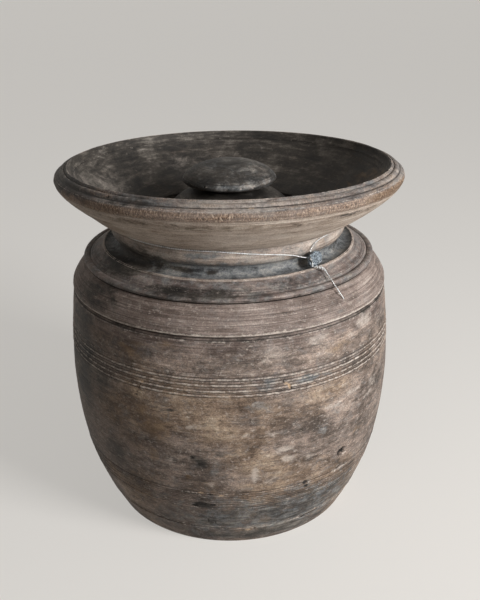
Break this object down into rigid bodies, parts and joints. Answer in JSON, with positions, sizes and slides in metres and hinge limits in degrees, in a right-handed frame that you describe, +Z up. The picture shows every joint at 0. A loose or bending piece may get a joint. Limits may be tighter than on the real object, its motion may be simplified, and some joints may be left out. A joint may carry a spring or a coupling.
{
  "type": "lidded wooden pot",
  "caption": "Round-bellied turned wooden pot with a flared dish rim, a drop-in knobbed lid, and a wire loop with a crimped seal round its neck.",
  "frame": {"origin": "centre of the pot's round foot, on the plane it rests on", "axes": "+Z up along the pot's turning axis, -Y towards the pictured front, +X to the viewer's right"},
  "size_m": [0.364, 0.364, 0.3884],
  "materials": {
    "weathered_hardwood": "dry, worn, grey-brown turned hardwood with fine tool lines",
    "dark_turned_wood": "darkened turned hardwood, handled smooth on the knob",
    "seal_wire_steel": "two fine galvanised strands twisted together",
    "crimped_lead": "dull blue-grey lead, crimped flat"
  },
  "bodies": {
    "pot": {"pot_body": "weathered_hardwood"},
    "lid": {"lid": "dark_turned_wood"},
    "seal_loop": {"seal_wire": "seal_wire_steel", "lead_seal": "crimped_lead", "wire_tail": "seal_wire_steel"}
  },
  "joints": [
    {"name": "lid_lift", "type": "slide", "parent": "pot", "child": "lid", "axis": [0, 0, 1], "range_m": [0, 0.25]},
    {"name": "seal_turn", "type": "hinge", "parent": "pot", "child": "seal_loop", "pos_m": [0, 0, 0.3255], "axis": [0, 0, 1], "continuous": true}
  ]
}
